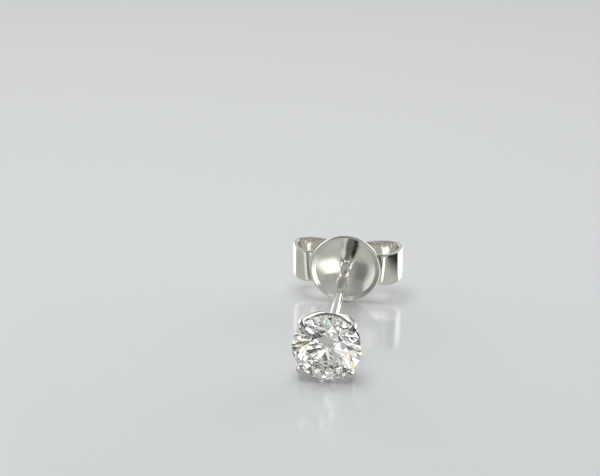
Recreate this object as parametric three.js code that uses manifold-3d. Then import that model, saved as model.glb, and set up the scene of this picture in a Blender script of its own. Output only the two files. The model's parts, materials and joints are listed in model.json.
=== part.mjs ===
// A stud earring with its friction back: a round brilliant in a four-prong
// basket on a straight post, and a butterfly back pushed onto the post.
// Millimetres, +Z up, lying on the surface z = 0: the stone's girdle and the
// edge of the back's pad both touch the surface. Both are round, so the earring
// is close to neutral balance there and rolls easily about its post.
//
// The pieces are made in the earring's own frame, where the Y axis is the axis
// of the post, y = 0 is the plane of the stone's girdle, the stone faces -Y and
// the post runs to +Y. A turned group then lays the earring on the surface.

import * as THREE from 'three';
import { ConvexGeometry } from 'three/addons/geometries/ConvexGeometry.js';
import { mergeVertices } from 'three/addons/utils/BufferGeometryUtils.js';
import Module from 'manifold-3d';

const wasm = await Module();
wasm.setup();

// ---- Driving dimensions ---------------------------------------------------

// Stone: a round brilliant, its proportions as parts of the girdle's radius.
const STONE_DIAMETER = 4.1;
const GIRDLE_HALF = 0.06;            // half the girdle's thickness at its hills
const GIRDLE_FLATS = 32;
const TABLE_RATIO = 0.57;            // corner of the table
const STAR_RATIO = 0.763;            // outer corner of a star facet
const LOWER_RATIO = 0.23;            // inner corner of a lower half facet
const CROWN_ANGLE = 34.5;
const PAVILION_ANGLE = 40.75;

// Setting: four curved prongs, one gallery rail, a base cup and the post.
const PRONG_COUNT = 4;
const PRONG_TURN = -2;               // the basket sits turned by this, degrees
const PRONG_RADIUS = 0.2;
const PRONG_SIDES = 12;
const PRONG_STEPS = 20;
const PRONG_PATH = [                 // distance from the axis, y
  { out: 0.20, y: 3.42 },
  { out: 0.62, y: 3.26 },
  { out: 0.98, y: 2.92 },
  { out: 1.55, y: 1.83 },
  { out: 1.96, y: 0.80 },
  { out: 2.14, y: 0.20 },
  { out: 2.15, y: -0.12 },
  { out: 2.07, y: -0.32 },
];
const TIP = { out: 2.05, y: -0.34, long: 0.26, high: 0.2, wide: 0.23 };
const RAIL = { out: 1.83, y: 0.74, halfWidth: 0.12, halfHeight: 0.16 };
const RAIL_SIDES = 48;
const CUP = { start: 3.18, bevel: 0.2, radius: 0.5, rim: 0.36, end: 3.8, fillet: 0.1, solder: 0.08 };
const POST_RADIUS = 0.3;
const POST_SIDES = 16;
const POST_PAST_PAD = 3.55;          // how far the tip stands past the pad's rim
const SEAT_GAP = 0.03;               // between the stone and the metal

// Back: one stamped and rolled strip, a dished pad with a scroll on each side.
const PAD_DISTANCE = 11.05;          // girdle plane to the plane of the pad's rim
const PAD_DIAMETER = 4.82;
const PAD_SIDES = 32;
const DISH_RADIUS = 2.03;
const DISH_DEPTH = 0.56;
const DISH_RINGS = [0.8, 1.15, 1.45, 1.76];
const LIP_DEPTH = 0.1;               // the bevelled lip stands this far forward
const LIP_WIDTH = 0.26;              // of its bevel
const EDGE = { front: 0.02, inset: 0.06, start: 0.09, end: 0.2, bevel: 0.09 };
const SHEET = 0.28;
const HOLE_RADIUS = 0.38;
const STRIP_WIDTH = 2.2;
const SCROLL_SAMPLES = 48;
const LOOP = { start: 2.15, end: 3, wider: 0.175 };  // the outer half is rolled this much wider
const SCROLL_PATH = [                // middle of the sheet: out from the axis, behind the rim
  { out: 1.70, back: 0.38 },
  { out: 2.15, back: 0.42 },
  { out: 2.58, back: 0.33 },
  { out: 2.98, back: 0.62 },
  { out: 3.27, back: 1.12 },
  { out: 3.42, back: 1.75 },
  { out: 3.28, back: 2.35 },
  { out: 2.85, back: 2.66 },
  { out: 2.35, back: 2.72 },
  { out: 1.80, back: 2.60 },
  { out: 1.22, back: 2.36 },
  { out: 0.72, back: 2.06 },
  { out: 0.50, back: 1.64 },
  { out: 0.58, back: 1.30 },
];

const STONE_RADIUS = STONE_DIAMETER / 2;
const PAD_RADIUS = PAD_DIAMETER / 2;
const CROWN_SLOPE = Math.tan(THREE.MathUtils.degToRad(CROWN_ANGLE));
const TABLE_HEIGHT = STONE_RADIUS * (1 - TABLE_RATIO) * CROWN_SLOPE;

// ---- Small helpers ---------------------------------------------------------

const radians = (degrees) => THREE.MathUtils.degToRad(degrees);

// A closed three.js geometry as a manifold solid.
function solid(geometry) {
  const bare = geometry.clone();
  bare.deleteAttribute('normal');
  bare.deleteAttribute('uv');
  const merged = mergeVertices(bare, 1e-5);
  return new wasm.Manifold(new wasm.Mesh({
    numProp: 3,
    vertProperties: new Float32Array(merged.attributes.position.array),
    triVerts: new Uint32Array(merged.index.array),
  }));
}

// A manifold solid back as a three.js geometry.
function geometryOf(manifold) {
  const mesh = manifold.getMesh();
  const geometry = new THREE.BufferGeometry();
  geometry.setAttribute('position', new THREE.BufferAttribute(new Float32Array(mesh.vertProperties), 3));
  geometry.setIndex(new THREE.BufferAttribute(new Uint32Array(mesh.triVerts), 1));
  geometry.computeVertexNormals();
  return geometry;
}

const joined = (solids) => solids.reduce((sum, next) => sum.add(next));

// A solid of revolution about Y with one of its flat sides facing straight down.
function turned(profile, sides) {
  const geometry = new THREE.LatheGeometry(profile, sides);
  return geometry.rotateY(Math.PI / sides);
}

// ---- Stone -----------------------------------------------------------------

// One facet plane n . p <= d. It leans by `slope` degrees from the girdle plane
// at the given azimuth and passes `out` from the axis, `front` before y = 0.
function facet(azimuth, slope, out, front, side) {
  const lean = radians(slope);
  const turn = radians(azimuth);
  const normal = new THREE.Vector3(
    Math.cos(turn) * Math.sin(lean), side * Math.cos(lean), Math.sin(turn) * Math.sin(lean));
  return { normal, distance: out * Math.sin(lean) + front * Math.cos(lean) };
}

// All facet planes of the brilliant, the stone grown outwards by `extra`.
function facetPlanes(extra) {
  const r = STONE_RADIUS;
  const eighth = 360 / 8;
  const pavilion = Math.tan(radians(PAVILION_ANGLE));
  const half = Math.cos(radians(eighth / 2));
  const quarter = Math.cos(radians(eighth / 4));
  const starHeight = r * (1 - STAR_RATIO * half) * CROWN_SLOPE;
  const starSlope = (TABLE_HEIGHT - starHeight) / (r * (STAR_RATIO - TABLE_RATIO * half));
  const upperSlope = starHeight / (r * quarter * (1 - STAR_RATIO));
  const lowerSlope = (1 - LOWER_RATIO * half) * pavilion / (quarter * (1 - LOWER_RATIO));
  const angle = (slope) => THREE.MathUtils.radToDeg(Math.atan(slope));

  const planes = [facet(0, 0, 0, GIRDLE_HALF + TABLE_HEIGHT, -1)];
  for (let k = 0; k < 8; k += 1) {
    const main = k * eighth;
    planes.push(facet(main, CROWN_ANGLE, r, GIRDLE_HALF, -1));
    planes.push(facet(
      main + eighth / 2, angle(starSlope), r * TABLE_RATIO * half, GIRDLE_HALF + TABLE_HEIGHT, -1));
    planes.push(facet(main, PAVILION_ANGLE, r, GIRDLE_HALF, 1));
    for (const side of [-1, 1]) {
      const azimuth = main + side * eighth / 4;
      planes.push(facet(azimuth, angle(upperSlope), r * quarter, GIRDLE_HALF, -1));
      planes.push(facet(azimuth, angle(lowerSlope), r * quarter, GIRDLE_HALF, 1));
    }
  }
  for (let k = 0; k < GIRDLE_FLATS; k += 1) {
    planes.push(facet(k * 360 / GIRDLE_FLATS, 90, r, 0, 1));
  }
  return planes.map(({ normal, distance }) => ({ normal, distance: distance + extra }));
}

// The corners of the convex solid behind all planes: every point where three of
// them meet that lies outside none.
function cornersOf(planes) {
  const near = 1e-6;
  const corners = [];
  const inside = (p) => planes.every(({ normal, distance }) => normal.dot(p) <= distance + near);
  const isNew = (p) => corners.every((c) => c.distanceToSquared(p) > near);
  for (let i = 0; i < planes.length; i += 1) {
    for (let j = i + 1; j < planes.length; j += 1) {
      const across = new THREE.Vector3().crossVectors(planes[i].normal, planes[j].normal);
      for (let k = j + 1; k < planes.length; k += 1) {
        const volume = across.dot(planes[k].normal);
        if (Math.abs(volume) < near) continue;
        const p = across.clone().multiplyScalar(planes[k].distance);
        p.addScaledVector(
          new THREE.Vector3().crossVectors(planes[j].normal, planes[k].normal), planes[i].distance);
        p.addScaledVector(
          new THREE.Vector3().crossVectors(planes[k].normal, planes[i].normal), planes[j].distance);
        p.divideScalar(volume);
        if (inside(p) && isNew(p)) corners.push(p);
      }
    }
  }
  return corners;
}

const brilliant = (extra) => new ConvexGeometry(cornersOf(facetPlanes(extra)));

// ---- Setting ---------------------------------------------------------------

// One prong: a round wire bowed out from the cup to the girdle, with an oval
// tip bent over the crown, in the half plane at `azimuth` round the axis.
function prong(azimuth) {
  const wire = new THREE.Shape();
  wire.absarc(0, 0, PRONG_RADIUS, 0, 2 * Math.PI);
  const path = new THREE.CatmullRomCurve3(PRONG_PATH.map(({ out, y }) => new THREE.Vector3(out, y, 0)));
  const bar = new THREE.ExtrudeGeometry(wire, {
    extrudePath: path, steps: PRONG_STEPS, curveSegments: PRONG_SIDES / 2,
  });
  const tip = new THREE.SphereGeometry(1, 12, 8);
  tip.scale(TIP.long, TIP.high, TIP.wide);
  tip.translate(TIP.out, TIP.y, 0);
  const turn = radians(azimuth);
  return joined([solid(bar.rotateY(-turn)), solid(tip.rotateY(-turn))]);
}

// The gallery rail that ties the prongs together behind the girdle.
function rail() {
  const outline = [];
  const corners = 8;
  for (let k = 0; k <= corners; k += 1) {
    const turn = 2 * Math.PI * k / corners;
    outline.push(new THREE.Vector2(
      RAIL.out + RAIL.halfWidth * Math.cos(turn), RAIL.y + RAIL.halfHeight * Math.sin(turn)));
  }
  return solid(turned(outline, RAIL_SIDES));
}

// The base cup and the post, turned as one.
function post() {
  const end = PAD_DISTANCE + POST_PAST_PAD;
  const profile = [
    [0, CUP.start],
    [CUP.radius - CUP.bevel * CROWN_SLOPE, CUP.start],
    [CUP.radius, CUP.start + CUP.bevel],
    [CUP.radius, CUP.start + CUP.rim],
    [POST_RADIUS + CUP.solder, CUP.end - CUP.fillet],
    [POST_RADIUS, CUP.end],
  ];
  for (const turn of [0, 30, 60, 90]) {
    profile.push([
      POST_RADIUS * Math.cos(radians(turn)), end - POST_RADIUS * (1 - Math.sin(radians(turn)))]);
  }
  return solid(turned(profile.map(([r, y]) => new THREE.Vector2(r, y)), POST_SIDES));
}

function setting() {
  const pieces = [rail(), post()];
  for (let k = 0; k < PRONG_COUNT; k += 1) {
    pieces.push(prong(PRONG_TURN + 360 * (k + 0.5) / PRONG_COUNT));
  }
  return geometryOf(joined(pieces).subtract(solid(brilliant(SEAT_GAP))));
}

// ---- Back ------------------------------------------------------------------

// The pad: a round dish, hollow towards the stone, with a bevelled lip and a
// hole for the post. Its front surface falls by a parabola from the lip to the hole.
function pad() {
  const dishBack = (r) => LIP_DEPTH + DISH_DEPTH * (1 - (r / DISH_RADIUS) ** 2);
  const rings = [HOLE_RADIUS, ...DISH_RINGS, DISH_RADIUS];
  const corner = PAD_RADIUS / Math.cos(Math.PI / PAD_SIDES);
  const front = rings.map((r) => [r, dishBack(r)]);
  const lip = [
    [DISH_RADIUS + LIP_WIDTH, 0],
    [corner - EDGE.inset, EDGE.front],
    [corner, EDGE.start],
    [corner, EDGE.end],
    [corner - EDGE.bevel, SHEET + EDGE.front],
  ];
  const back = rings.map((r) => [r, dishBack(r) + SHEET]).reverse();
  const outline = [...front, ...lip, ...back, front[0]];
  return solid(turned(outline.map(([r, y]) => new THREE.Vector2(r, PAD_DISTANCE + y)), PAD_SIDES));
}

// One scroll: the strip leaves the pad, rolls back round a loop and comes in to
// press its end on the post. `side` is +1 or -1 along X.
function scroll(side) {
  const reach = (out) => out + LOOP.wider * THREE.MathUtils.smoothstep(out, LOOP.start, LOOP.end);
  const path = new THREE.CatmullRomCurve3(
    SCROLL_PATH.map(({ out, back }) => new THREE.Vector3(side * reach(out), PAD_DISTANCE + back, 0)));
  const outer = [];
  const inner = [];
  for (let k = 0; k <= SCROLL_SAMPLES; k += 1) {
    const at = path.getPointAt(k / SCROLL_SAMPLES);
    const along = path.getTangentAt(k / SCROLL_SAMPLES);
    const across = new THREE.Vector2(-along.y, along.x).multiplyScalar(SHEET / 2);
    outer.push(new THREE.Vector2(at.x + across.x, at.y + across.y));
    inner.unshift(new THREE.Vector2(at.x - across.x, at.y - across.y));
  }
  const strip = new THREE.ExtrudeGeometry(new THREE.Shape([...outer, ...inner]), {
    depth: STRIP_WIDTH, bevelEnabled: false,
  });
  return solid(strip.translate(0, 0, -STRIP_WIDTH / 2));
}

const clutch = () => geometryOf(joined([pad(), scroll(1), scroll(-1)]));

// ---- Assembly --------------------------------------------------------------

const whiteGold = new THREE.MeshStandardMaterial({ color: 0xd9dad6, roughness: 0.12, metalness: 1 });
const whiteGoldBack = new THREE.MeshStandardMaterial({ color: 0xd2d3ce, roughness: 0.18, metalness: 1 });
const diamond = new THREE.MeshStandardMaterial({ color: 0xf4f8fb, roughness: 0.02, metalness: 0 });

function node(name, geometry, material) {
  const mesh = new THREE.Mesh(geometry, material);
  mesh.name = name;
  return mesh;
}

// The axis falls towards the stone, because the pad is wider than the stone.
// The origin is midway between the table's upper edge, which the lean brings
// foremost, and the end of the post.
const lean = Math.asin((PAD_RADIUS - STONE_RADIUS) / PAD_DISTANCE);
const tableFront = -(GIRDLE_HALF + TABLE_HEIGHT);
const tableTop = STONE_RADIUS * TABLE_RATIO;
const frontEnd = tableFront * Math.cos(lean) - tableTop * Math.sin(lean);
const backEnd = (PAD_DISTANCE + POST_PAST_PAD) * Math.cos(lean);

const earring = new THREE.Group();
earring.add(node('stone', brilliant(0), diamond));
earring.add(node('setting', setting(), whiteGold));
earring.add(node('clutch', clutch(), whiteGoldBack));
earring.rotation.x = lean;
earring.position.set(0, -(frontEnd + backEnd) / 2, STONE_RADIUS);

const part = new THREE.Group();
part.add(earring);

export default part;
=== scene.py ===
"""A stud earring with its butterfly back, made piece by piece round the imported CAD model.

The script is laid out as a notebook. Every length in the recipes is in millimetres, in the
earring's own frame, and one function carries the points to metres in the shared frame.
"""

# %% [markdown]
# # A stud earring
#
# The earring is a small machine for holding a stone. A round brilliant sits in a basket of four
# wires, the basket is soldered to a straight post, and a butterfly back of springy sheet slides
# on the post and grips it. The stone and the basket move as one body, and the back is the other.
#
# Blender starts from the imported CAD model. It is loaded first, and its box is noted, because
# every piece made here has to stay the size that the CAD says.

import json
import math

import bmesh
import bpy
import numpy as np
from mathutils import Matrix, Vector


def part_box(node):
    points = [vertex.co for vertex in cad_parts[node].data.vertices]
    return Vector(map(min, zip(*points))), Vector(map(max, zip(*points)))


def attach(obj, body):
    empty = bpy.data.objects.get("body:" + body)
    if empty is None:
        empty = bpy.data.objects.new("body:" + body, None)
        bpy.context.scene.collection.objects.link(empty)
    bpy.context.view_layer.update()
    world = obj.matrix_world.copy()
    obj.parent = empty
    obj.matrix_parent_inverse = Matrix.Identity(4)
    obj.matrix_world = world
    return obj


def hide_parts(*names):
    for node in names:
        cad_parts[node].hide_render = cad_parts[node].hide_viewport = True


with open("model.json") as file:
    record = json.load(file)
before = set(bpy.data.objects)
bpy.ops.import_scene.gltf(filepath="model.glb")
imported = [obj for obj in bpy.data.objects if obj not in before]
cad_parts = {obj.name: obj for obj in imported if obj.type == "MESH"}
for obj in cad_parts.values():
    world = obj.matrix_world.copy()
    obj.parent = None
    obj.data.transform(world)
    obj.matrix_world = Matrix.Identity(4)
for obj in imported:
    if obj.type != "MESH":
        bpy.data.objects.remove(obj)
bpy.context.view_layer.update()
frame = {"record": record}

# %% [markdown]
# ## The earring's own frame
#
# The pad is wider than the stone, so the post leans a little when the earring lies on a table.
# It is easier to make each piece upright, in a frame of its own: x across, y along the post from
# the girdle of the stone towards the ear, z up. The axis of the slide joint gives the lean, and
# the box of the stone gives the place of its girdle.

# %% Where the axis of the post runs
MM = 0.001
CROWN_ANGLE = math.radians(34.5)
PAVILION_ANGLE = math.radians(40.75)
GIRDLE_HALF = 0.06

slide = frame["record"]["behaviour"]["joints"][0]
along = np.array(slide["axis"]) / np.linalg.norm(slide["axis"])
across = np.array([1.0, 0.0, 0.0])
earring_axes = np.array([across, along, np.cross(across, along)])

stone_low, stone_high = (np.array(corner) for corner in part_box("stone"))
stone_radius = (stone_high[0] - stone_low[0]) / 2 / MM
culet_depth = GIRDLE_HALF + stone_radius * math.tan(PAVILION_ANGLE)
girdle_centre = np.array([
    (stone_low[0] + stone_high[0]) / 2,
    stone_high[1] - culet_depth * MM * along[1],
    (stone_low[2] + stone_high[2]) / 2,
])


def placed(points):
    """Points of the earring's own frame in the shared frame: the girdle's centre, plus each
    coordinate times its own axis, with millimetres made metres."""
    return girdle_centre + (np.asarray(points) * MM) @ earring_axes


PAD_DISTANCE = 11.05
print("stone radius", round(stone_radius, 3), "mm, girdle centre", (girdle_centre / MM).round(3), "mm")

# %% [markdown]
# ## Meshes from arrays
#
# Most pieces of jewellery are one curve carried along another: a wire is a circle carried along a
# bend, and a turned part is an outline carried round an axis. Both are a grid of points, so one
# helper makes the faces between neighbours of a grid, and another makes a grid into a piece.

# %% Grids of points into pieces


def grid_faces(rows, columns, closed_rows):
    """Four-sided faces between neighbours of a grid whose columns always close into a ring.
    With closed_rows the last row joins the first, as on a ring carried round an axis."""
    row, column = np.meshgrid(
        np.arange(rows if closed_rows else rows - 1), np.arange(columns), indexing="ij")
    next_row = (row + 1) % rows
    next_column = (column + 1) % columns
    corners = [
        row * columns + column,
        row * columns + next_column,
        next_row * columns + next_column,
        next_row * columns + column,
    ]
    return np.stack(corners, axis=-1).reshape(-1, 4)


def piece_from(name, points, faces, sharp_above=40.0):
    """A finished piece. Its points go to the shared frame, points that meet at a pole are merged,
    and the normals are worked out again so that they all point outwards. Edges that turn by more
    than sharp_above degrees stay crisp."""
    mesh = bpy.data.meshes.new(name)
    mesh.from_pydata(placed(points).tolist(), [], faces if isinstance(faces, list) else faces.tolist())
    tidy = bmesh.new()
    tidy.from_mesh(mesh)
    bmesh.ops.remove_doubles(tidy, verts=tidy.verts, dist=1e-7)
    bmesh.ops.recalc_face_normals(tidy, faces=tidy.faces)
    tidy.to_mesh(mesh)
    tidy.free()
    mesh.shade_smooth()
    mesh.set_sharp_from_angle(angle=math.radians(sharp_above))
    mesh.update()
    made = bpy.data.objects.new(name, mesh)
    bpy.context.scene.collection.objects.link(made)
    print(name, len(mesh.polygons), "faces")
    return made


def smooth_path(knots, steps):
    """A Catmull-Rom curve: between two knots it is a cubic whose slope at each knot is half the
    step from the knot before to the knot after. The result has steps + 1 points, evenly far apart."""
    knots = np.asarray(knots, dtype=float)
    padded = np.vstack([2 * knots[0] - knots[1], knots, 2 * knots[-1] - knots[-2]])
    t = np.linspace(0, 1, 40, endpoint=False)[:, None]
    before, start, end, after = padded[:-3], padded[1:-2], padded[2:-1], padded[3:]
    cubic = 0.5 * (
        2 * start[:, None]
        + (end - before)[:, None] * t
        + (2 * before - 5 * start + 4 * end - after)[:, None] * t**2
        + (3 * start - before - 3 * end + after)[:, None] * t**3)
    curve = np.vstack([cubic.reshape(-1, knots.shape[1]), knots[-1:]])
    reach = np.r_[0, np.cumsum(np.linalg.norm(np.diff(curve, axis=0), axis=1))]
    even = np.linspace(0, reach[-1], steps + 1)
    return np.stack([np.interp(even, reach, line) for line in curve.T], axis=1)


def turned(profile, steps):
    """A turned part. Each point (r, y) of the outline goes round the axis of the post:
    x = r cos t, z = r sin t, with y unchanged."""
    profile = np.asarray(profile)
    t = np.linspace(0, 2 * np.pi, steps, endpoint=False)
    points = np.stack([
        profile[:, None, 0] * np.cos(t),
        np.repeat(profile[:, 1:], steps, axis=1),
        profile[:, None, 0] * np.sin(t),
    ], axis=-1)
    return points.reshape(-1, 3)


# %% [markdown]
# ## Camera
#
# The camera looks down on the earring from the front, a little from the right, from 75 mm away.
# A 69 mm lens at that distance keeps the small parts from looking stretched.

# %% Camera
camera = bpy.data.objects.new("camera", bpy.data.cameras.new("camera"))
camera.location = (0.006646, -0.066861, 0.032523)
camera.rotation_euler = (math.radians(68.661), 0.0, math.radians(7.797))
camera.data.lens = 69.0
camera.data.sensor_width = 36.0
camera.data.clip_start = 0.001
camera.data.clip_end = 10.0
bpy.context.scene.collection.objects.link(camera)
bpy.context.scene.camera = camera
print("camera", round(camera.location.length / MM, 1), "mm from the origin")

# %% [markdown]
# ## The studio
#
# Polished metal and diamond have almost no colour of their own: they show the room. So the room
# is built with as much care as the earring: a pale glossy table, large white panels for the
# lights, and black and grey cards out of view, which draw the dark lines that make metal look
# like metal. Here the low part of the world holds those tones round the compass, and a glowing board
# just above the table, seen only in reflections, carries painted reflections of the table with painted
# shade near the pad.

# %% Small helpers for shader nodes


def new_material(name):
    """An empty node material and its output node."""
    material = bpy.data.materials.new(name)
    material.use_nodes = True
    material.node_tree.nodes.clear()
    return material, material.node_tree.nodes.new("ShaderNodeOutputMaterial")


def add_node(material, kind, **values):
    """A node with some of its settings or inputs given by name."""
    node = material.node_tree.nodes.new(kind)
    for name, value in values.items():
        socket = node.inputs.get(name.replace("_", " "))
        if socket is not None:
            socket.default_value = value
        else:
            setattr(node, name, value)
    return node


def join(material, start, end):
    """A link from one socket to another."""
    material.node_tree.links.new(start, end)


# %% [markdown]
# ## The table
#
# The table is a pale, slightly soft gloss, like lacquered board. A real one reflects more at a
# low angle than from above, which the index of refraction gives by itself. A single round face
# is enough, because the table is only seen from above.

# %% Table
table_finish, table_output = new_material("pale_glossy_table")
table_shader = add_node(
    table_finish, "ShaderNodeBsdfPrincipled",
    Base_Color=(0.70, 0.72, 0.725, 1.0), Roughness=0.12, IOR=1.9)
join(table_finish, table_shader.outputs[0], table_output.inputs["Surface"])

TABLE_RADIUS = 4.0
rim = np.linspace(0, 2 * np.pi, 96, endpoint=False)
table_mesh = bpy.data.meshes.new("table")
table_mesh.from_pydata(
    (TABLE_RADIUS * np.stack([np.cos(rim), np.sin(rim), 0 * rim], axis=1)).tolist(),
    [], [list(range(len(rim)))])
table_mesh.materials.append(table_finish)
table = bpy.data.objects.new("table", table_mesh)
bpy.context.scene.collection.objects.link(table)
print("table", 2 * TABLE_RADIUS, "m across")

# %% [markdown]
# ## The reflection board
#
# Metal lying on a table shows much of that table, so its tones draw many of the dark and light
# bands of the pad and the loops. Painted on the table itself they would darken the view. So a
# second surface lies just above it, which the camera doesn't see. It glows upwards only, with
# greys kept as a point attribute and worked out from the bearing and the distance to the pad.

# %% Reflection board
BOARD_RADIUS = 90.0
BOARD_HEIGHT = 0.01
BOARD_COLUMNS = 240
# painted shade: the board's even mid grey round the foot of the pad, seen in the metal's reflections
FOOT_PAINTED_SHADE = 0.52
FRONT_GREY = 0.42
FRONT_FROM = 6.0
FRONT_FADE = 5.0
FRONT_BEARING = 32
# painted contact shadow: a dark line on the board just under the rim of the pad
RIM_SHADE = 0.97
RIM_SHADE_WIDTH = 0.6
RIM_SHADE_LENGTH = 0.16
RIM_SHADE_SHIFT = 0.05
BOARD_WARMTH = 0.95
pad_foot = (girdle_centre + PAD_DISTANCE * MM * along) / MM
# bearing round the pad in degrees, 0 towards the stone, and the painted reflected grey there: the room's
# tones, with a painted highlight patch from 8 to 21 degrees and a painted dark patch from -36 to -24
PAINTED_REFLECTION_TONES = [
    (-180, 1.7), (-128, 1.7), (-118, 0.48), (-68, 0.48), (-58, 0.85), (-44, 0.85),
    (-36, 0.22), (-24, 0.22), (-12, 0.42), (0, 0.42), (8, 1.7), (21, 1.7),
    (32, 0.50), (44, 0.45), (52, 0.03), (112, 0.03), (122, 1.7), (180, 1.7),
]
# bearing, and how many mm out the painted shade grey of the foot begins to change
CHANGE_FROM = [
    (-180, 4.6), (-100, 4.6), (-50, 2.0), (42, 2.0), (50, 6.2), (112, 6.2), (122, 4.6), (180, 4.6),
]
# bearing, and over how many mm it changes
CHANGE_OVER = [(-180, 1.4), (42, 1.4), (50, 4.6), (112, 4.6), (122, 1.4), (180, 1.4)]


def board_grey(x, y):
    """How bright the board is at a point on the table. It follows painted reflected tones of the room
    round the pad, from an even mid grey of painted shade at the foot of the pad to the full tone further
    out. The black of the right side starts furthest out, and a painted contact shadow lies as a dark line
    under the rim of the pad."""
    out, back = x - pad_foot[0], y - pad_foot[1]
    radius = np.hypot(out, back)
    angle = np.degrees(np.arctan2(out, -back))
    far = np.interp(angle, *zip(*PAINTED_REFLECTION_TONES))
    start = np.interp(angle, *zip(*CHANGE_FROM))
    width = np.interp(angle, *zip(*CHANGE_OVER))
    reach = np.clip((radius - start) / width, 0, 1)
    front = np.clip((radius - FRONT_FROM) / FRONT_FADE, 0, 1) * (angle > 0) * (angle < FRONT_BEARING)
    far = far + (FRONT_GREY - far) * front * front * (3 - 2 * front)
    grey = FOOT_PAINTED_SHADE + (far - FOOT_PAINTED_SHADE) * reach * reach * (3 - 2 * reach)
    # painted contact shadow under the rim of the pad
    under_rim = (out / RIM_SHADE_WIDTH) ** 2 + ((back + RIM_SHADE_SHIFT) / RIM_SHADE_LENGTH) ** 2
    return grey * (1 - RIM_SHADE * np.exp(-under_rim))


# %% [markdown]
# The material glows on the upper face and is clear from below: a mix node picks one of the two
# by whether the face is seen from behind. The mesh is a grid of rings, fine near the pad, where
# the greys change quickly, and coarse further out.

# %% Material of the board
board_finish, board_output = new_material("reflection_board")
board_glow = add_node(board_finish, "ShaderNodeEmission", Strength=1.0)
board_print = add_node(board_finish, "ShaderNodeAttribute", attribute_name="grey")
board_clear = add_node(board_finish, "ShaderNodeBsdfTransparent")
board_side = add_node(board_finish, "ShaderNodeNewGeometry")
board_mix = add_node(board_finish, "ShaderNodeMixShader")
join(board_finish, board_print.outputs["Color"], board_glow.inputs["Color"])
join(board_finish, board_side.outputs["Backfacing"], board_mix.inputs[0])
join(board_finish, board_glow.outputs[0], board_mix.inputs[1])
join(board_finish, board_clear.outputs[0], board_mix.inputs[2])
join(board_finish, board_mix.outputs[0], board_output.inputs["Surface"])

# %% Mesh of the board
board_rings = np.r_[0.01, np.linspace(0.25, 14, 56), np.linspace(15, BOARD_RADIUS, 20)]
board_turn = np.linspace(0, 2 * np.pi, BOARD_COLUMNS, endpoint=False)
board_x = np.outer(board_rings, np.cos(board_turn)).ravel() + pad_foot[0]
board_y = np.outer(board_rings, np.sin(board_turn)).ravel() + pad_foot[1]
board_mesh = bpy.data.meshes.new("reflection_board")
board_mesh.from_pydata(
    (np.stack([board_x, board_y, np.full_like(board_x, BOARD_HEIGHT)], axis=1) * MM).tolist(),
    [], grid_faces(len(board_rings), BOARD_COLUMNS, False)[:, ::-1].tolist())
print("board faces up:", board_mesh.polygons[0].normal.z > 0)
board_mesh.materials.append(board_finish)
greys = board_grey(board_x, board_y)
tinted = np.stack([greys, greys, greys * BOARD_WARMTH, np.ones_like(greys)], axis=1)
board_mesh.attributes.new("grey", "FLOAT_COLOR", "POINT").data.foreach_set(
    "color", tinted.astype(np.float32).ravel())
board = bpy.data.objects.new("reflection_board", board_mesh)
bpy.context.scene.collection.objects.link(board)
board.visible_camera = False
board.visible_diffuse = False
board.visible_shadow = False
board.visible_volume_scatter = False
print("board greys from", greys.min().round(3), "to", greys.max().round(3))

# %% [markdown]
# ## The lights
#
# Three large panels give the soft light: one overhead, one from the left and a wide one in front.
# A panel that shows in polished metal is a hard white square, so the panels are kept out of
# reflections, and the board and the world give the metal its bright and dark sides.

# %% Lights


def soft_light(name, place, size, power):
    """A square panel that faces the earring. It lights the table and the earring, and isn't seen
    itself, neither by the camera nor in the metal."""
    light = bpy.data.lights.new(name, "AREA")
    light.shape = "SQUARE"
    light.size = size
    light.energy = power
    made = bpy.data.objects.new(name, light)
    made.location = place
    aim = np.array([0.0, 0.0, 0.002]) - np.array(place)
    made.rotation_euler = (
        math.acos(-aim[2] / np.linalg.norm(aim)), 0.0, math.atan2(aim[0], -aim[1]))
    made.visible_camera = False
    made.visible_glossy = False
    bpy.context.scene.collection.objects.link(made)
    print(name, power, "W")


soft_light("top_panel", (-0.03, 0.00, 0.30), 0.20, 0.62)
soft_light("left_panel", (-0.28, -0.05, 0.16), 0.14, 0.28)
soft_light("front_panel", (0.06, -0.26, 0.24), 0.24, 0.90)

# %% [markdown]
# ## The world
#
# The world is the rest of the room. Its low part has a tone for each bearing: an arc tangent
# turns the direction into a bearing, and a colour ramp turns that into a tone. Higher up it
# fades to a plain dark grey.

# %% World
HALF_TURN = 180.0
FADE_FROM = 0.45
FADE_TO = 0.75
# a colour mix has its two colours in sockets 6 and 7, and its result in socket 2
MIX_A, MIX_B, MIX_OUT = 6, 7, 2
ZENITH_GREY = (0.17, 0.172, 0.172, 1.0)
world = bpy.data.worlds.new("studio")
world.use_nodes = True
world.node_tree.nodes.clear()
bpy.context.scene.world = world


def world_node(kind, **values):
    """A node of the world, with inputs given by name."""
    return add_node(world, kind, **values)


def ramp_of(stops, source):
    """A colour ramp with the given (position, grey or colour) stops, fed by source."""
    ramp = world_node("ShaderNodeValToRGB")
    elements = ramp.color_ramp.elements
    while len(elements) < len(stops):
        elements.new(1.0)
    for element, (position, colour) in zip(elements, stops):
        element.position = position
        element.color = (colour, colour, colour, 1.0) if isinstance(colour, float) else (*colour, 1.0)
    join(world, source, ramp.inputs[0])
    return ramp


# %% Tones of the low sky
direction = world_node("ShaderNodeTexCoord")
split = world_node("ShaderNodeSeparateXYZ")
join(world, direction.outputs["Generated"], split.inputs[0])
towards_front = world_node("ShaderNodeMath", operation="MULTIPLY")
towards_front.inputs[1].default_value = -1.0
join(world, split.outputs["Y"], towards_front.inputs[0])
bearing = world_node("ShaderNodeMath", operation="ARCTAN2")
join(world, split.outputs["X"], bearing.inputs[0])
join(world, towards_front.outputs[0], bearing.inputs[1])
turn_share = world_node("ShaderNodeMapRange")
turn_share.inputs["From Min"].default_value = -math.pi
turn_share.inputs["From Max"].default_value = math.pi
join(world, bearing.outputs[0], turn_share.inputs["Value"])
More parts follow.
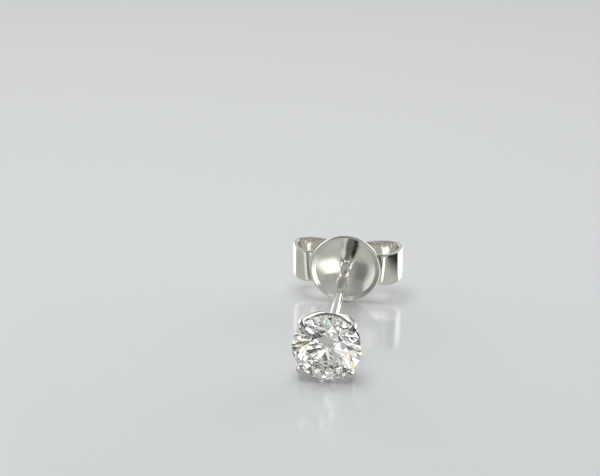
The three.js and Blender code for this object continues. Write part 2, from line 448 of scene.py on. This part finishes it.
# bearing in degrees, 0 towards the front, and the brightness there
SKY = [
    (-180, 0.52), (-156, 0.52), (-148, 2.0), (-128, 2.0), (-118, 0.60), (-58, 0.70),
    (-44, 0.70), (-36, 0.26), (-24, 0.26), (-12, 0.36), (40, 0.36), (48, 0.03),
    (112, 0.03), (122, 1.9), (155, 1.9), (165, 0.52), (180, 0.52),
]
# height of the direction, 0 at the horizon and 1 overhead, and what the tone is multiplied by
SKY_HEIGHT = [(0.0, 1.1), (0.17, 1.25), (0.36, 1.3), (0.50, 0.95), (0.70, 0.55)]
sky_stops = [((angle + HALF_TURN) / (2 * HALF_TURN), grey) for angle, grey in SKY]
low_sky = ramp_of(sky_stops, turn_share.outputs[0])
sky_height = ramp_of(SKY_HEIGHT, split.outputs["Z"])
lit_sky = world_node("ShaderNodeMix", data_type="RGBA", blend_type="MULTIPLY")
lit_sky.inputs[0].default_value = 1.0
join(world, low_sky.outputs[0], lit_sky.inputs[MIX_A])
join(world, sky_height.outputs[0], lit_sky.inputs[MIX_B])
upness = world_node("ShaderNodeMapRange", interpolation_type="SMOOTHSTEP")
upness.inputs["From Min"].default_value = FADE_FROM
upness.inputs["From Max"].default_value = FADE_TO
join(world, split.outputs["Z"], upness.inputs["Value"])
sky = world_node("ShaderNodeMix", data_type="RGBA")
sky.inputs[MIX_B].default_value = ZENITH_GREY
join(world, upness.outputs[0], sky.inputs[0])
join(world, lit_sky.outputs[MIX_OUT], sky.inputs[MIX_A])

# %% [markdown]
# A diamond under a plain sky looks like plain glass. It needs many small bright and dark cards
# round it, called flags, for its facets to light up one by one. A Voronoi pattern gives each
# direction of the room a flag of its own tone, and only rays that have passed through glass see it.

# %% What the stone sees
FLAG_SCALE = 3.8
FLAG_PLACE = (15.6, -0.8, -1.8)
flags = world_node("ShaderNodeTexVoronoi", feature="F1")
flags.inputs["Scale"].default_value = FLAG_SCALE
flag_place = world_node("ShaderNodeMapping")
flag_place.inputs["Location"].default_value = FLAG_PLACE
join(world, direction.outputs["Generated"], flag_place.inputs["Vector"])
join(world, flag_place.outputs[0], flags.inputs["Vector"])
flag_parts = world_node("ShaderNodeSeparateColor")
join(world, flags.outputs["Color"], flag_parts.inputs[0])
flag_tone = ramp_of([
    (0.0, 0.004), (0.16, 0.95), (0.28, 0.12), (0.36, 1.5), (0.54, 0.50), (0.70, 2.3), (0.82, 0.01),
    (0.90, (1.25, 1.10, 0.70)), (0.93, (0.40, 0.62, 0.60)), (0.95, (1.15, 0.70, 0.50)),
    (0.962, (0.80, 0.74, 0.95)), (0.98, 0.9),
], flag_parts.outputs[0])
flag_tone.color_ramp.interpolation = "CONSTANT"
path_kind = world_node("ShaderNodeLightPath")
seen = world_node("ShaderNodeMix", data_type="RGBA")
join(world, path_kind.outputs["Is Transmission Ray"], seen.inputs[0])
join(world, sky.outputs[MIX_OUT], seen.inputs[MIX_A])
join(world, flag_tone.outputs[0], seen.inputs[MIX_B])
backdrop = world_node("ShaderNodeBackground")
world_output = world_node("ShaderNodeOutputWorld")
join(world, seen.outputs[MIX_OUT], backdrop.inputs["Color"])
join(world, backdrop.outputs[0], world_output.inputs["Surface"])

bpy.context.scene.view_settings.view_transform = "Standard"
bpy.context.scene.cycles.max_bounces = 24
bpy.context.scene.cycles.glossy_bounces = 14
bpy.context.scene.cycles.transmission_bounces = 16
print("world with", len(SKY), "bearings and", len(flag_tone.color_ramp.elements), "kinds of flag")

# %% [markdown]
# ## Finishes
#
# White gold is plated with rhodium, which is a neutral, slightly warm white. A polished piece
# isn't a perfect mirror: the wheel leaves a soft ripple and hair-fine marks, and handling dulls
# the high places a little. All of it comes from noise in object space, at the scale of the real
# thing: the ripple is a few tenths of a millimetre long and the marks are finer still.

# %% Polished metal


def polished_metal(name, colour, dull_colour, roughness, ripple):
    """Rhodium-plated gold: the colour wanders between two close tones, the roughness between two
    values, and two noises give the ripple and the fine marks of the polishing wheel."""
    material, output = new_material(name)
    shader = add_node(material, "ShaderNodeBsdfPrincipled", Metallic=1.0)
    join(material, shader.outputs[0], output.inputs["Surface"])
    place = add_node(material, "ShaderNodeTexCoord")

    cloud = add_node(material, "ShaderNodeTexNoise", Scale=900.0, Detail=3.0, Roughness=0.55)
    join(material, place.outputs["Object"], cloud.inputs["Vector"])
    tone = add_node(material, "ShaderNodeValToRGB")
    tone.color_ramp.elements[0].position = 0.35
    tone.color_ramp.elements[0].color = (*dull_colour, 1.0)
    tone.color_ramp.elements[1].position = 0.62
    tone.color_ramp.elements[1].color = (*colour, 1.0)
    join(material, cloud.outputs["Fac"], tone.inputs[0])
    join(material, tone.outputs[0], shader.inputs["Base Color"])

    haze = add_node(material, "ShaderNodeTexNoise", Scale=2600.0, Detail=4.0, Roughness=0.6)
    join(material, place.outputs["Object"], haze.inputs["Vector"])
    spread = add_node(material, "ShaderNodeMapRange")
    spread.inputs["From Min"].default_value = 0.3
    spread.inputs["From Max"].default_value = 0.7
    spread.inputs["To Min"].default_value = roughness * 0.6
    spread.inputs["To Max"].default_value = roughness * 1.5
    join(material, haze.outputs["Fac"], spread.inputs["Value"])
    join(material, spread.outputs[0], shader.inputs["Roughness"])

    wave = add_node(material, "ShaderNodeTexNoise", Scale=1700.0, Detail=1.0)
    join(material, place.outputs["Object"], wave.inputs["Vector"])
    soft = add_node(material, "ShaderNodeBump", Strength=1.0, Distance=ripple)
    join(material, wave.outputs["Fac"], soft.inputs["Height"])
    stretch = add_node(material, "ShaderNodeMapping")
    stretch.inputs["Scale"].default_value = (9000.0, 60000.0, 22000.0)
    join(material, place.outputs["Object"], stretch.inputs["Vector"])
    marks = add_node(material, "ShaderNodeTexNoise", Scale=1.0, Detail=2.0)
    join(material, stretch.outputs[0], marks.inputs["Vector"])
    fine = add_node(material, "ShaderNodeBump", Strength=1.0, Distance=ripple * 0.02)
    join(material, marks.outputs["Fac"], fine.inputs["Height"])
    join(material, soft.outputs[0], fine.inputs["Normal"])
    join(material, fine.outputs[0], shader.inputs["Normal"])
    return material


setting_metal = polished_metal(
    "setting_white_gold", (0.87, 0.865, 0.84), (0.79, 0.785, 0.75), 0.07, 2.0e-6)
clutch_metal = polished_metal(
    "back_white_gold", (0.87, 0.865, 0.82), (0.79, 0.785, 0.735), 0.085, 3.0e-6)
print("metals:", setting_metal.name, "and", clutch_metal.name)

# %% [markdown]
# Diamond bends light so strongly that it shows the room in splinters, one for each facet. The
# stone is one clear glass with the bending of diamond. A real one also parts the colours, which
# jewellers call fire. Parting them in the shader takes very many samples, so the room that the
# stone sees has a few small tinted cards instead. The girdle is the only unpolished part, so an
# attribute on its faces makes it frosted.

# %% Diamond
DIAMOND_IOR = 2.417
GIRDLE_FROST = 0.5
diamond, diamond_output = new_material("diamond")
frost = add_node(diamond, "ShaderNodeAttribute", attribute_name="frosted")
frost_noise = add_node(diamond, "ShaderNodeTexNoise", Scale=6000.0, Detail=3.0)
stone_place = add_node(diamond, "ShaderNodeTexCoord")
frost_depth = add_node(diamond, "ShaderNodeMath", operation="MULTIPLY")
join(diamond, stone_place.outputs["Object"], frost_noise.inputs["Vector"])
join(diamond, frost.outputs["Fac"], frost_depth.inputs[0])
join(diamond, frost_noise.outputs["Fac"], frost_depth.inputs[1])
clear_stone = add_node(
    diamond, "ShaderNodeBsdfPrincipled", Base_Color=(1.0, 1.0, 1.0, 1.0), IOR=DIAMOND_IOR)
clear_stone.inputs["Transmission Weight"].default_value = 1.0
join(diamond, frost_depth.outputs[0], clear_stone.inputs["Roughness"])
join(diamond, clear_stone.outputs[0], diamond_output.inputs["Surface"])
print("diamond bends light with an index of", DIAMOND_IOR)

# %% [markdown]
# ## The stone
#
# A round brilliant isn't modelled, it is cut: every facet is a plane, and the stone is what is
# left behind all of them. So the numbers are those of the cutter: the angle of the crown and the
# pavilion, and how wide the table is. The corners are the points where three planes meet and
# that lie outside none.

# %% Facet planes
TABLE_RATIO = 0.57
STAR_RATIO = 0.763
LOWER_RATIO = 0.23
GIRDLE_FLATS = 64


def facet_planes():
    """The outward normal and the distance of each facet's plane in the earring's own frame. A
    facet that leans by s from the girdle's plane and passes through the point (r, h) has the
    distance r sin s + h cos s."""
    r = stone_radius
    half = math.cos(math.radians(22.5))
    quarter = math.cos(math.radians(11.25))
    table_height = r * (1 - TABLE_RATIO) * math.tan(CROWN_ANGLE)
    star_height = r * (1 - STAR_RATIO * half) * math.tan(CROWN_ANGLE)
    star_angle = math.atan((table_height - star_height) / (r * (STAR_RATIO - TABLE_RATIO * half)))
    upper_angle = math.atan(star_height / (r * quarter * (1 - STAR_RATIO)))
    lower_angle = math.atan(
        (1 - LOWER_RATIO * half) * math.tan(PAVILION_ANGLE) / (quarter * (1 - LOWER_RATIO)))
    eighths = np.arange(8) * 45.0
    halves = np.r_[eighths - 11.25, eighths + 11.25]
    top = GIRDLE_HALF + table_height
    cuts = [
        (np.zeros(1), 0.0, 0.0, top, -1),
        (eighths, CROWN_ANGLE, r, GIRDLE_HALF, -1),
        (eighths + 22.5, star_angle, r * TABLE_RATIO * half, top, -1),
        (halves, upper_angle, r * quarter, GIRDLE_HALF, -1),
        (halves, lower_angle, r * quarter, GIRDLE_HALF, 1),
        (eighths, PAVILION_ANGLE, r, GIRDLE_HALF, 1),
        (np.arange(GIRDLE_FLATS) * 360.0 / GIRDLE_FLATS, math.pi / 2, r, 0.0, 1),
    ]
    normals, distances = [], []
    for azimuth, lean, out, height, side in cuts:
        t = np.radians(azimuth)
        normals.append(np.stack([
            np.cos(t) * math.sin(lean), np.full_like(t, side * math.cos(lean)), np.sin(t) * math.sin(lean),
        ], axis=1))
        distances.append(np.full_like(t, out * math.sin(lean) + height * math.cos(lean)))
    return np.vstack(normals), np.concatenate(distances)


facet_normals, facet_distances = facet_planes()
print(len(facet_normals) - GIRDLE_FLATS, "facets and", GIRDLE_FLATS, "flats on the girdle")

# %% Cut the stone


def cut_stone():
    """Corners and facets of the solid behind all planes. Each three planes meet at the point that
    solves n . p = d for all three, and it is kept if no plane has it outside."""
    count = len(facet_normals)
    i, j, k = np.meshgrid(*(np.arange(count),) * 3, indexing="ij")
    triples = np.stack([i, j, k], axis=-1).reshape(-1, 3)
    triples = triples[(triples[:, 0] < triples[:, 1]) & (triples[:, 1] < triples[:, 2])]
    systems = facet_normals[triples]
    able = np.abs(np.linalg.det(systems)) > 1e-6
    meeting = np.linalg.solve(systems[able], facet_distances[triples[able]][..., None])[..., 0]
    kept = (meeting @ facet_normals.T <= facet_distances + 1e-6).all(axis=1)
    corners = np.unique(meeting[kept].round(6), axis=0)
    facets = []
    for normal, distance in zip(facet_normals, facet_distances):
        on = np.flatnonzero(np.abs(corners @ normal - distance) < 5e-5)
        middle = corners[on].mean(axis=0)
        u = corners[on[0]] - middle
        v = np.cross(normal, u)
        turn = np.arctan2((corners[on] - middle) @ v, (corners[on] - middle) @ u)
        facets.append(on[np.argsort(turn)].tolist())
    return corners, facets


stone_corners, stone_facets = cut_stone()
stone = piece_from("brilliant", stone_corners, stone_facets)
stone.data.shade_flat()
frosted = stone.data.attributes.new("frosted", "FLOAT", "FACE")
facet_axis = np.array([p.normal for p in stone.data.polygons]) @ along
frosted.data.foreach_set("value", (np.abs(facet_axis) < 0.02).astype(np.float32) * GIRDLE_FROST)
stone.data.materials.append(diamond)
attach(stone, "stud")
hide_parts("stone")
print("stone with", len(stone_corners), "corners")

# %% [markdown]
# ## The setting
#
# The basket is wire work. Four prongs come out of a small cup, bow outwards to the girdle, and
# end in a claw pressed down on the crown. One ring of wire, the gallery rail, ties them together.
# A prong is a circle carried along a bend, and the circle swells and flattens into the claw.

# %% Wires


def wire(path, outward, width, height, steps_round):
    """A wire: at each point of the path an ellipse stands square to it, width along the side and
    height along the outward direction, and the rings are joined into a tube."""
    along_path = np.gradient(path, axis=0)
    along_path /= np.linalg.norm(along_path, axis=1, keepdims=True)
    side = np.cross(along_path, outward)
    side /= np.linalg.norm(side, axis=1, keepdims=True)
    up = np.cross(side, along_path)
    t = np.linspace(0, 2 * np.pi, steps_round, endpoint=False)
    ring = (
        side[:, None] * (np.cos(t)[None, :, None] * width[:, None, None])
        + up[:, None] * (np.sin(t)[None, :, None] * height[:, None, None]))
    return (path[:, None] + ring).reshape(-1, 3)


def clear_of_stone(points, gap):
    """Points inside the stone grown by gap are moved out through the nearest facet."""
    depth = points @ facet_normals.T - facet_distances - gap
    nearest = depth.argmax(axis=1)
    deep = np.minimum(depth.max(axis=1), 0.0)
    return points - facet_normals[nearest] * deep[:, None]


# %% [markdown]
# ## Prongs
#
# A jeweller bends each prong from round wire, solders its foot into the cup, and presses its end
# over the crown. Here the wire's middle line is a smooth curve through a few points, distance
# from the axis and place along it. The foot and the tip close to a point, so the wire is sealed.

# %% Prongs
PRONG_TURN = -2.0
PRONG_RADIUS = 0.2
SEAT_GAP = 0.012
PRONG_STEPS = 110
PRONG_SIDES = 32
CLAW_START = 0.84
CLAW_SWELL = 0.10
CLAW_FLATTEN = 0.22
TIP_START = 0.935
FOOT_SHARE = 0.03
PRONG_PATH = [
    (0.20, 3.42), (0.62, 3.26), (0.98, 2.92), (1.55, 1.83), (1.96, 0.80), (2.14, 0.20),
    (2.15, -0.10), (2.10, -0.25), (1.99, -0.34), (1.86, -0.39), (1.76, -0.41),
]

bow = smooth_path(PRONG_PATH, PRONG_STEPS)
share = np.linspace(0, 1, PRONG_STEPS + 1)
claw = np.clip((share - CLAW_START) / (1 - CLAW_START), 0, 1)
into_tip = np.clip(share - TIP_START, 0, 1) / (1 - TIP_START)
into_foot = np.clip(FOOT_SHARE - share, 0, 1) / FOOT_SHARE
tip_end = np.sqrt(np.clip(1 - into_tip**2, 0, 1))
foot_end = np.sqrt(np.clip(1 - into_foot**2, 0, 1))
closing = tip_end * foot_end
prong_width = PRONG_RADIUS * (1 + CLAW_SWELL * np.sin(claw * np.pi * 0.75)) * closing
prong_height = PRONG_RADIUS * (1 - CLAW_FLATTEN * claw) * closing

# %% Bend the four prongs
for number in range(4):
    azimuth = math.radians(PRONG_TURN + 45.0 + 90.0 * number)
    radial = np.array([math.cos(azimuth), 0.0, math.sin(azimuth)])
    path = bow[:, :1] * radial + bow[:, 1:] * np.array([0.0, 1.0, 0.0])
    tangent = np.gradient(bow, axis=0)
    outward = tangent[:, 1:] * -radial + tangent[:, :1] * np.array([0.0, 1.0, 0.0])
    tube = clear_of_stone(wire(path, outward, prong_width, prong_height, PRONG_SIDES), SEAT_GAP)
    prong = piece_from(f"prong_{number + 1}", tube, grid_faces(PRONG_STEPS + 1, PRONG_SIDES, False))
    prong.data.materials.append(setting_metal)
    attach(prong, "stud")
    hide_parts("setting")

# %% [markdown]
# ## Gallery rail
#
# The rail is a ring of oval wire behind the girdle, which keeps the prongs from spreading. An
# ellipse turned round the axis of the post makes it.

# %% Gallery rail
RAIL_OUT = 1.83
RAIL_BACK = 0.74
RAIL_HALF_WIDTH = 0.12
RAIL_HALF_HEIGHT = 0.16
RAIL_SIDES = 28
RAIL_STEPS = 160
rail_turn = np.linspace(0, 2 * np.pi, RAIL_SIDES, endpoint=False)
rail_section = np.stack([
    RAIL_OUT + RAIL_HALF_WIDTH * np.cos(rail_turn),
    RAIL_BACK + RAIL_HALF_HEIGHT * np.sin(rail_turn),
], axis=1)
rail = piece_from(
    "gallery_rail", turned(rail_section, RAIL_STEPS), grid_faces(RAIL_SIDES, RAIL_STEPS, True))
rail.data.materials.append(setting_metal)
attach(rail, "stud")
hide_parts("setting")

# %% [markdown]
# The cup and the post are turned on one axis: a short cup that the prongs are soldered into, a
# fillet of solder, the straight post, and a tip rounded off so that it passes through the ear.

# %% Cup and post
POST_RADIUS = 0.3
POST_END = 14.6
POST_STEPS = 64
CUP_OUTLINE = [
    (0.34, 3.18), (0.46, 3.22), (0.5, 3.34), (0.5, 3.48), (0.46, 3.6), (0.37, 3.68),
    (0.32, 3.78), (POST_RADIUS, 3.95),
]
tip_turn = np.linspace(0, np.pi / 2, 16)
post_outline = np.vstack([
    [(0.0, 3.18)],
    smooth_path(CUP_OUTLINE, 40),
    np.stack([np.full(20, POST_RADIUS), np.linspace(4.1, POST_END - 0.35, 20)], axis=1),
    np.stack([
        POST_RADIUS * np.cos(tip_turn),
        POST_END - POST_RADIUS + POST_RADIUS * np.sin(tip_turn),
    ], axis=1),
])
post = piece_from(
    "cup_and_post", turned(post_outline, POST_STEPS), grid_faces(len(post_outline), POST_STEPS, False))
post.data.materials.append(setting_metal)
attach(post, "stud")
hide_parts("setting")

# %% [markdown]
# ## The butterfly back
#
# The back is stamped from one strip: a round pad, dished so that it sits softly against the ear,
# and an arm on each side that is rolled back into a loop and presses on the post. The pad is
# turned from its outline, and each arm is a flat strip carried round the loop.

# %% Pad
DISH_RADIUS = 2.03
DISH_DEPTH = 0.56
LIP_DEPTH = 0.1
HOLE_RADIUS = 0.40
SHEET = 0.28
PAD_STEPS = 192
# the rim from the dish's edge round to its back: distance from the axis, depth behind the rim
LIP_OUTLINE = [
    (2.05, 0.094), (2.15, 0.061), (2.25, 0.026), (2.32, 0.004), (2.37, 0.01),
    (2.405, 0.06), (2.412, 0.14), (2.39, 0.22), (2.30, 0.275), (2.15, 0.31),
]
COLLAR_OUTLINE = [(HOLE_RADIUS, 0.93), (0.375, 0.85), (0.375, 0.72), (HOLE_RADIUS, 0.655)]


def dish(r):
    """How far the pad's front lies behind its rim: a parabola from the lip down to the hole."""
    return LIP_DEPTH + DISH_DEPTH * (1 - (r / DISH_RADIUS) ** 2)


inner = np.linspace(HOLE_RADIUS, DISH_RADIUS, 60)
front = np.stack([inner, dish(inner)], axis=1)
lip = smooth_path(LIP_OUTLINE, 70)
back = np.stack([inner[::-1], dish(inner[::-1]) + SHEET], axis=1)
collar = smooth_path(COLLAR_OUTLINE, 10)
pad_outline = np.vstack([front, lip, back, collar[1:-1]])
pad_outline[:, 1] += PAD_DISTANCE
pad = piece_from(
    "pad", turned(pad_outline, PAD_STEPS), grid_faces(len(pad_outline), PAD_STEPS, True), 30.0)

# %% [markdown]
# ## Scrolls
#
# Each arm leaves the pad, turns back in a wide loop, and comes in to the post. A rectangle with
# rounded edges is carried along the loop with its long side always upright, so the strip never
# twists. Its first and last few steps get thinner, down to nothing, which closes the ends.

# %% Scrolls
SCROLL_STEPS = 180
STRIP_SIDES = 64
STRIP_WIDTH = 2.2
END_STEPS = 4
END_TAPER = 0.04
SCROLL_PATH = [
    (1.70, 0.38), (2.15, 0.42), (2.58, 0.33), (2.98, 0.62), (3.27, 1.12), (3.42, 1.75), (3.28, 2.35),
    (2.85, 2.66), (2.35, 2.72), (1.80, 2.60), (1.22, 2.36), (0.72, 2.06), (0.50, 1.64), (0.58, 1.30),
]
LOOP_START = 2.15
LOOP_END = 3.0
LOOP_WIDER = 0.175
FACE_POWER = 1 / 4
EDGE_POWER = 1 / 14


def strip(side):
    """A flat strip rolled round a loop. Its cross-section is a rectangle with rounded edges: the
    cosine and the sine of a turn, each raised to a small power. The cosine and the sine are
    rounded, so that a true zero stays zero and the two ends close. The outer part of the loop
    is moved out by LOOP_WIDER, eased in by 3 t^2 - 2 t^3."""
    knots = np.array(SCROLL_PATH)
    t = np.clip((knots[:, 0] - LOOP_START) / (LOOP_END - LOOP_START), 0, 1)
    knots[:, 0] += LOOP_WIDER * t * t * (3 - 2 * t)
    path = smooth_path(knots, SCROLL_STEPS)
    path = np.stack([side * path[:, 0], PAD_DISTANCE + path[:, 1]], axis=1)
    tangent = np.gradient(path, axis=0)
    tangent /= np.linalg.norm(tangent, axis=1, keepdims=True)
    normal = np.stack([-tangent[:, 1], tangent[:, 0]], axis=1)
    t = np.linspace(0, 2 * np.pi, STRIP_SIDES, endpoint=False)
    cosine = np.cos(t).round(12)
    sine = np.sin(t).round(12)
    thick = np.sign(cosine) * np.abs(cosine) ** FACE_POWER * SHEET / 2
    wide = np.sign(sine) * np.abs(sine) ** EDGE_POWER * STRIP_WIDTH / 2
    step = np.arange(SCROLL_STEPS + 1)
    from_end = np.minimum(step, SCROLL_STEPS - step)
    into_end = np.clip((END_STEPS - from_end) / END_STEPS, 0, 1)
    end = np.sqrt(1 - into_end**2)
    flat = path[:, None] + normal[:, None] * (thick[None, :, None] * end[:, None, None])
    tall = wide[None, :] * (1 - END_TAPER * (1 - end[:, None]))
    points = np.stack([flat[..., 0], flat[..., 1], tall], axis=-1)
    return points.reshape(-1, 3)


# %% Roll the two scrolls
scrolls = []
for name, side in (("scroll_right", 1.0), ("scroll_left", -1.0)):
    scroll = piece_from(name, strip(side), grid_faces(SCROLL_STEPS + 1, STRIP_SIDES, False), 35.0)
    scrolls.append(scroll)
for piece in (pad, *scrolls):
    piece.data.materials.append(clutch_metal)
    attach(piece, "clutch")
    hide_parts("clutch")
